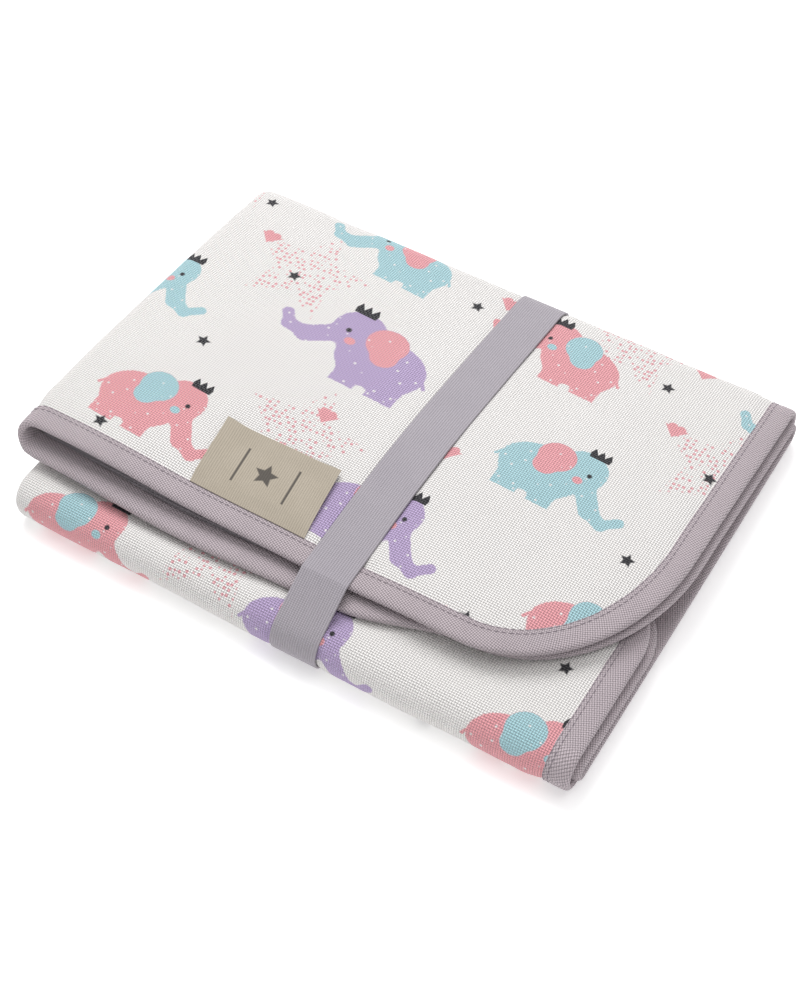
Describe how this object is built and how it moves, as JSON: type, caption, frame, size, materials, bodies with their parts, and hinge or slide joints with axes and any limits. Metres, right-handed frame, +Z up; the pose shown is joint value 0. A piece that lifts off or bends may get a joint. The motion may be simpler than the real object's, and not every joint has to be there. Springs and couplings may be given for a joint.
{
  "type": "changing pad",
  "caption": "Padded fabric baby changing pad folded flat into a packet, with bound edges, a woven label and an elastic strap; the flaps unfold to a flat mat.",
  "frame": {"origin": "centre of the folded packet's footprint, on the surface it rests on", "axes": "+Z up; +X from the folded left end to the bound open end; +Y from the top flap's free edge towards the back fold"},
  "size_m": [0.336, 0.2654, 0.0414],
  "materials": {
    "printed_cloth": "coarse plain-weave white cotton with a pastel print of elephants, hearts and stars",
    "wadding": "soft white polyester wadding",
    "lining": "pale grey wipe-clean cloth, slightly satin",
    "binding": "grey-lavender woven edge tape, matt, stitched along its inner edge",
    "elastic": "mid-grey knitted elastic, fine ribs, matt",
    "label": "cream ribbed woven tape"
  },
  "bodies": {
    "base": {"base_outer_cover": "printed_cloth", "base_outer_padding": "wadding", "base_outer_lining": "lining", "base_inner_lining": "lining", "base_inner_padding": "wadding", "base_inner_cover": "printed_cloth", "base_end_wrap": "printed_cloth", "base_outer_binding": "binding", "base_inner_binding": "binding", "strap_under": "elastic"},
    "front_fold": {"front_fold_outer_cover": "printed_cloth", "front_fold_outer_padding": "wadding", "front_fold_outer_lining": "lining", "front_fold_inner_lining": "lining", "front_fold_inner_padding": "wadding", "front_fold_inner_cover": "printed_cloth", "front_fold_end_wrap": "printed_cloth", "front_fold_outer_binding": "binding", "front_fold_inner_binding": "binding", "strap_tail": "elastic"},
    "front_flap": {"front_flap_outer_cover": "printed_cloth", "front_flap_outer_padding": "wadding", "front_flap_outer_lining": "lining", "front_flap_inner_lining": "lining", "front_flap_inner_padding": "wadding", "front_flap_inner_cover": "printed_cloth", "front_flap_end_wrap": "printed_cloth", "front_flap_outer_binding": "binding", "front_flap_inner_binding": "binding"},
    "back_fold": {"back_fold_outer_cover": "printed_cloth", "back_fold_outer_padding": "wadding", "back_fold_outer_lining": "lining", "back_fold_inner_lining": "lining", "back_fold_inner_padding": "wadding", "back_fold_inner_cover": "printed_cloth", "back_fold_end_wrap": "printed_cloth", "back_fold_outer_binding": "binding", "back_fold_inner_binding": "binding", "strap_back": "elastic"},
    "top_flap": {"top_flap_outer_cover": "printed_cloth", "top_flap_outer_padding": "wadding", "top_flap_outer_lining": "lining", "top_flap_inner_lining": "lining", "top_flap_inner_padding": "wadding", "top_flap_inner_cover": "printed_cloth", "top_flap_end_wrap": "printed_cloth", "top_flap_outer_binding": "binding", "top_flap_inner_binding": "binding", "strap_top": "elastic"},
    "strap_front": {"strap_front": "elastic"},
    "label": {"label": "label"}
  },
  "joints": [
    {"name": "back_fold_lower", "type": "hinge", "parent": "base", "child": "back_fold", "pos_m": [0, 0.1289, 0.0021], "axis": [-1, 0, 0], "range_deg": [0, 88]},
    {"name": "back_fold_upper", "type": "hinge", "parent": "back_fold", "child": "top_flap", "pos_m": [0, 0.1289, 0.0259], "axis": [-1, 0, 0], "range_deg": [0, 88]},
    {"name": "front_fold_lower", "type": "hinge", "parent": "base", "child": "front_fold", "pos_m": [0, -0.12899, 0.00201], "axis": [1, 0, 0], "range_deg": [0, 88]},
    {"name": "front_fold_upper", "type": "hinge", "parent": "front_fold", "child": "front_flap", "pos_m": [0, -0.12899, 0.02479], "axis": [1, 0, 0], "range_deg": [0, 88]},
    {"name": "strap_lift", "type": "hinge", "parent": "top_flap", "child": "strap_front", "pos_m": [0.016, -0.09915, 0.0415], "axis": [-1, 0, 0], "range_deg": [0, 165]},
    {"name": "label_flip", "type": "hinge", "parent": "top_flap", "child": "label", "pos_m": [-0.038, -0.0855, 0.0404], "axis": [1, 0, 0], "range_deg": [0, 120]}
  ],
  "couplings": [
    {"joint": "back_fold_upper", "follows": "back_fold_lower", "ratio": 1},
    {"joint": "front_fold_lower", "follows": "back_fold_lower", "ratio": 1},
    {"joint": "front_fold_upper", "follows": "back_fold_lower", "ratio": 1}
  ]
}
